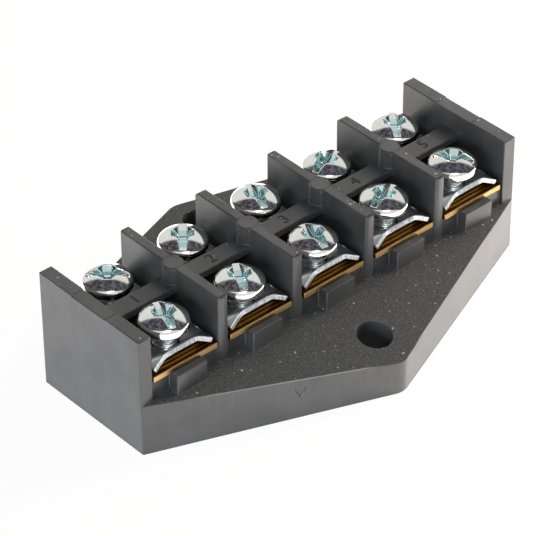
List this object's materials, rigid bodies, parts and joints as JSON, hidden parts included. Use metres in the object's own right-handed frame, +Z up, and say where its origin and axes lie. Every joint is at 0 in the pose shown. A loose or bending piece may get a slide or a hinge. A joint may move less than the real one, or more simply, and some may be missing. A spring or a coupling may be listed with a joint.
{
  "type": "barrier terminal strip",
  "caption": "Dark moulded terminal strip on a diamond-shaped base with two mounting holes; barriers separate the poles, each with a brass bar, wire clamps and screws.",
  "frame": {"origin": "Middle of the flat underside.", "axes": "+X runs along the row of poles, from pole 1 to pole 5. +Y points to the back row. +Z is up, out of the screws' heads."},
  "size_m": [0.078, 0.054, 0.0213],
  "materials": {
    "housing": "moulded plastic, dark grey, smooth barriers and a finely textured flange",
    "terminal_bar": "rolled brass, bright cut ends",
    "clamp": "pressed steel, bright zinc plated",
    "screw": "steel, bright zinc plated"
  },
  "bodies": {
    "housing": {"housing": "housing", "terminal_bar_1": "terminal_bar", "terminal_bar_2": "terminal_bar", "terminal_bar_3": "terminal_bar", "terminal_bar_4": "terminal_bar", "terminal_bar_5": "terminal_bar"},
    "clamp_front_1": {"clamp_front_1": "clamp"},
    "screw_front_1": {"screw_front_1": "screw"},
    "clamp_front_2": {"clamp_front_2": "clamp"},
    "screw_front_2": {"screw_front_2": "screw"},
    "clamp_front_3": {"clamp_front_3": "clamp"},
    "screw_front_3": {"screw_front_3": "screw"},
    "clamp_front_4": {"clamp_front_4": "clamp"},
    "screw_front_4": {"screw_front_4": "screw"},
    "clamp_front_5": {"clamp_front_5": "clamp"},
    "screw_front_5": {"screw_front_5": "screw"},
    "clamp_back_1": {"clamp_back_1": "clamp"},
    "screw_back_1": {"screw_back_1": "screw"},
    "clamp_back_2": {"clamp_back_2": "clamp"},
    "screw_back_2": {"screw_back_2": "screw"},
    "clamp_back_3": {"clamp_back_3": "clamp"},
    "screw_back_3": {"screw_back_3": "screw"},
    "clamp_back_4": {"clamp_back_4": "clamp"},
    "screw_back_4": {"screw_back_4": "screw"},
    "clamp_back_5": {"clamp_back_5": "clamp"},
    "screw_back_5": {"screw_back_5": "screw"}
  },
  "joints": [
    {"name": "clamp_front_1_lift", "type": "slide", "parent": "housing", "child": "clamp_front_1", "axis": [0, 0, 1], "range_m": [0, 0.0028]},
    {"name": "screw_front_1_turn", "type": "hinge", "parent": "clamp_front_1", "child": "screw_front_1", "pos_m": [-0.03, -0.0066, 0.01703], "axis": [0, 0, 1], "range_deg": [0, 1440.5]},
    {"name": "clamp_front_2_lift", "type": "slide", "parent": "housing", "child": "clamp_front_2", "axis": [0, 0, 1], "range_m": [0, 0.0028]},
    {"name": "screw_front_2_turn", "type": "hinge", "parent": "clamp_front_2", "child": "screw_front_2", "pos_m": [-0.015, -0.0066, 0.01647], "axis": [0, 0, 1], "range_deg": [0, 1440.5]},
    {"name": "clamp_front_3_lift", "type": "slide", "parent": "housing", "child": "clamp_front_3", "axis": [0, 0, 1], "range_m": [0, 0.0028]},
    {"name": "screw_front_3_turn", "type": "hinge", "parent": "clamp_front_3", "child": "screw_front_3", "pos_m": [0, -0.0066, 0.01661], "axis": [0, 0, 1], "range_deg": [0, 1440.5]},
    {"name": "clamp_front_4_lift", "type": "slide", "parent": "housing", "child": "clamp_front_4", "axis": [0, 0, 1], "range_m": [0, 0.0028]},
    {"name": "screw_front_4_turn", "type": "hinge", "parent": "clamp_front_4", "child": "screw_front_4", "pos_m": [0.015, -0.0066, 0.01689], "axis": [0, 0, 1], "range_deg": [0, 1440.5]},
    {"name": "clamp_front_5_lift", "type": "slide", "parent": "housing", "child": "clamp_front_5", "axis": [0, 0, 1], "range_m": [0, 0.0028]},
    {"name": "screw_front_5_turn", "type": "hinge", "parent": "clamp_front_5", "child": "screw_front_5", "pos_m": [0.03, -0.0066, 0.01675], "axis": [0, 0, 1], "range_deg": [0, 1440.5]},
    {"name": "clamp_back_1_lift", "type": "slide", "parent": "housing", "child": "clamp_back_1", "axis": [0, 0, 1], "range_m": [0, 0.0028]},
    {"name": "screw_back_1_turn", "type": "hinge", "parent": "clamp_back_1", "child": "screw_back_1", "pos_m": [-0.03, 0.0066, 0.01682], "axis": [0, 0, 1], "range_deg": [0, 1440.5]},
    {"name": "clamp_back_2_lift", "type": "slide", "parent": "housing", "child": "clamp_back_2", "axis": [0, 0, 1], "range_m": [0, 0.0028]},
    {"name": "screw_back_2_turn", "type": "hinge", "parent": "clamp_back_2", "child": "screw_back_2", "pos_m": [-0.015, 0.0066, 0.01668], "axis": [0, 0, 1], "range_deg": [0, 1440.5]},
    {"name": "clamp_back_3_lift", "type": "slide", "parent": "housing", "child": "clamp_back_3", "axis": [0, 0, 1], "range_m": [0, 0.0028]},
    {"name": "screw_back_3_turn", "type": "hinge", "parent": "clamp_back_3", "child": "screw_back_3", "pos_m": [0, 0.0066, 0.0171], "axis": [0, 0, 1], "range_deg": [0, 1440.5]},
    {"name": "clamp_back_4_lift", "type": "slide", "parent": "housing", "child": "clamp_back_4", "axis": [0, 0, 1], "range_m": [0, 0.0028]},
    {"name": "screw_back_4_turn", "type": "hinge", "parent": "clamp_back_4", "child": "screw_back_4", "pos_m": [0.015, 0.0066, 0.01654], "axis": [0, 0, 1], "range_deg": [0, 1440.5]},
    {"name": "clamp_back_5_lift", "type": "slide", "parent": "housing", "child": "clamp_back_5", "axis": [0, 0, 1], "range_m": [0, 0.0028]},
    {"name": "screw_back_5_turn", "type": "hinge", "parent": "clamp_back_5", "child": "screw_back_5", "pos_m": [0.03, 0.0066, 0.01668], "axis": [0, 0, 1], "range_deg": [0, 1440.5]}
  ],
  "couplings": [
    {"joint": "screw_front_1_turn", "follows": "clamp_front_1_lift", "rad_per_m": 8976},
    {"joint": "screw_front_2_turn", "follows": "clamp_front_2_lift", "rad_per_m": 8976},
    {"joint": "screw_front_3_turn", "follows": "clamp_front_3_lift", "rad_per_m": 8976},
    {"joint": "screw_front_4_turn", "follows": "clamp_front_4_lift", "rad_per_m": 8976},
    {"joint": "screw_front_5_turn", "follows": "clamp_front_5_lift", "rad_per_m": 8976},
    {"joint": "screw_back_1_turn", "follows": "clamp_back_1_lift", "rad_per_m": 8976},
    {"joint": "screw_back_2_turn", "follows": "clamp_back_2_lift", "rad_per_m": 8976},
    {"joint": "screw_back_3_turn", "follows": "clamp_back_3_lift", "rad_per_m": 8976},
    {"joint": "screw_back_4_turn", "follows": "clamp_back_4_lift", "rad_per_m": 8976},
    {"joint": "screw_back_5_turn", "follows": "clamp_back_5_lift", "rad_per_m": 8976}
  ]
}
